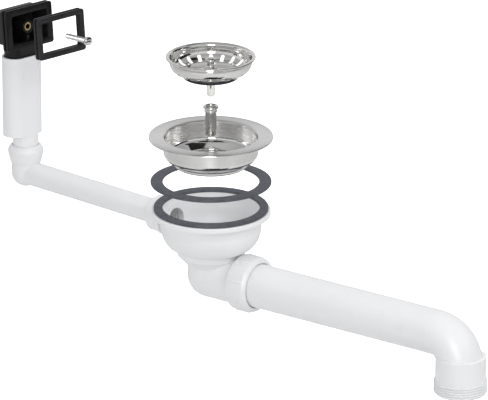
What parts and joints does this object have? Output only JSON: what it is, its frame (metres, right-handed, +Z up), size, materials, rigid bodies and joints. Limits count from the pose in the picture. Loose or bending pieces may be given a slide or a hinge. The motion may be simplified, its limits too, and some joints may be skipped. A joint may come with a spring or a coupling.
{
  "type": "sink basket strainer waste",
  "caption": "Sink basket strainer waste with swivel outlet elbow, long space saving outlet pipe and telescopic overflow, its loose pieces lifted off their seats.",
  "frame": {"origin": "centre of the thick gasket's top face, where the sink's underside rests", "axes": "+Z up along the bowl's axis, -Y towards the front, outlet pipe towards +X and -Y, overflow towards -X and +Y"},
  "size_m": [0.4444, 0.3609, 0.2618],
  "materials": {
    "white_plastic": "satin moulded polypropylene",
    "natural_plastic": "satin moulded",
    "pressed_steel": "brushed",
    "polished_steel": "polished",
    "slate_rubber": "matt",
    "black_rubber": "matt",
    "black_plastic": "moulded",
    "brass": "turned"
  },
  "bodies": {
    "valve_bowl": {"valve_bowl": "white_plastic", "hub_stud": "brass", "bowl_gasket": "slate_rubber", "elbow_seal": "black_rubber"},
    "flat_gasket": {"flat_gasket": "slate_rubber"},
    "sink_flange": {"sink_flange": "pressed_steel"},
    "centre_screw": {"centre_screw": "polished_steel"},
    "basket_stem": {"basket_stem": "natural_plastic", "stem_nut": "polished_steel"},
    "strainer_basket": {"strainer_basket": "polished_steel", "basket_knob": "polished_steel", "basket_seal": "black_rubber"},
    "outlet_elbow": {"outlet_elbow": "white_plastic", "wedge_seal": "black_rubber"},
    "union_nut": {"union_nut": "white_plastic"},
    "slip_ring": {"slip_ring": "natural_plastic"},
    "outlet_pipe": {"outlet_pipe": "white_plastic", "threaded_outlet": "white_plastic"},
    "branch_nut": {"branch_nut": "white_plastic"},
    "branch_seal": {"branch_seal": "black_rubber"},
    "overflow_pipe": {"overflow_pipe": "white_plastic", "riser_seal": "black_rubber", "riser_cap": "white_plastic"},
    "overflow_sleeve": {"overflow_sleeve": "white_plastic"},
    "overflow_head": {"overflow_head": "black_plastic", "brass_insert": "brass"},
    "frame_gasket": {"frame_gasket": "black_rubber"},
    "clamp_screw": {"clamp_screw": "polished_steel"}
  },
  "joints": [
    {"name": "gasket_lift", "type": "slide", "parent": "valve_bowl", "child": "flat_gasket", "axis": [0, 0, 1], "range_m": [-0.0214, 0]},
    {"name": "flange_lift", "type": "slide", "parent": "flat_gasket", "child": "sink_flange", "axis": [0, 0, 1], "range_m": [-0.0416, 0]},
    {"name": "screw_lift", "type": "slide", "parent": "sink_flange", "child": "centre_screw", "axis": [0, 0, 1], "range_m": [-0.0529, 0]},
    {"name": "basket_lift", "type": "slide", "parent": "centre_screw", "child": "basket_stem", "axis": [0, 0, 1], "range_m": [-0.0294, 0]},
    {"name": "basket_turn", "type": "hinge", "parent": "basket_stem", "child": "strainer_basket", "pos_m": [0, 0, 0.13], "axis": [0, 0, 1], "continuous": true},
    {"name": "elbow_swivel", "type": "hinge", "parent": "valve_bowl", "child": "outlet_elbow", "pos_m": [0, 0, -0.045], "axis": [0, 0, 1], "range_deg": [-120, 120]},
    {"name": "nut_turn", "type": "hinge", "parent": "outlet_elbow", "child": "union_nut", "pos_m": [0.03551, -0.02599, -0.065], "axis": [0.807, -0.5906, 0], "continuous": true},
    {"name": "outlet_turn", "type": "hinge", "parent": "outlet_elbow", "child": "slip_ring", "pos_m": [0.03954, -0.02894, -0.065], "axis": [0.807, -0.5906, 0], "continuous": true},
    {"name": "outlet_slide", "type": "slide", "parent": "slip_ring", "child": "outlet_pipe", "axis": [0.807, -0.5906, 0], "range_m": [-0.0025, 0.012]},
    {"name": "branch_nut_turn", "type": "hinge", "parent": "valve_bowl", "child": "branch_nut", "pos_m": [-0.04473, 0.03999, -0.0223], "axis": [-0.7455, 0.6665, 0], "continuous": true},
    {"name": "overflow_tilt", "type": "hinge", "parent": "valve_bowl", "child": "branch_seal", "pos_m": [-0.04696, 0.04199, -0.0223], "axis": [-0.7455, 0.6665, 0], "range_deg": [-20, 20]},
    {"name": "overflow_slide", "type": "slide", "parent": "branch_seal", "child": "overflow_pipe", "axis": [-0.7455, 0.6665, 0], "range_m": [-0.0025, 0.009]},
    {"name": "sleeve_swivel", "type": "hinge", "parent": "overflow_pipe", "child": "overflow_sleeve", "pos_m": [-0.17265, 0.15437, 0], "axis": [0, 0, 1], "range_deg": [-90, 90]},
    {"name": "head_height", "type": "slide", "parent": "overflow_sleeve", "child": "overflow_head", "axis": [0, 0, 1], "range_m": [-0.009, 0.03]},
    {"name": "frame_seat", "type": "slide", "parent": "overflow_head", "child": "frame_gasket", "axis": [0.6536, -0.7518, 0.0872], "range_m": [-0.0399, 0]},
    {"name": "clamp_travel", "type": "slide", "parent": "frame_gasket", "child": "clamp_screw", "axis": [0.6536, -0.7518, 0.0872], "range_m": [-0.0225, 0]}
  ]
}
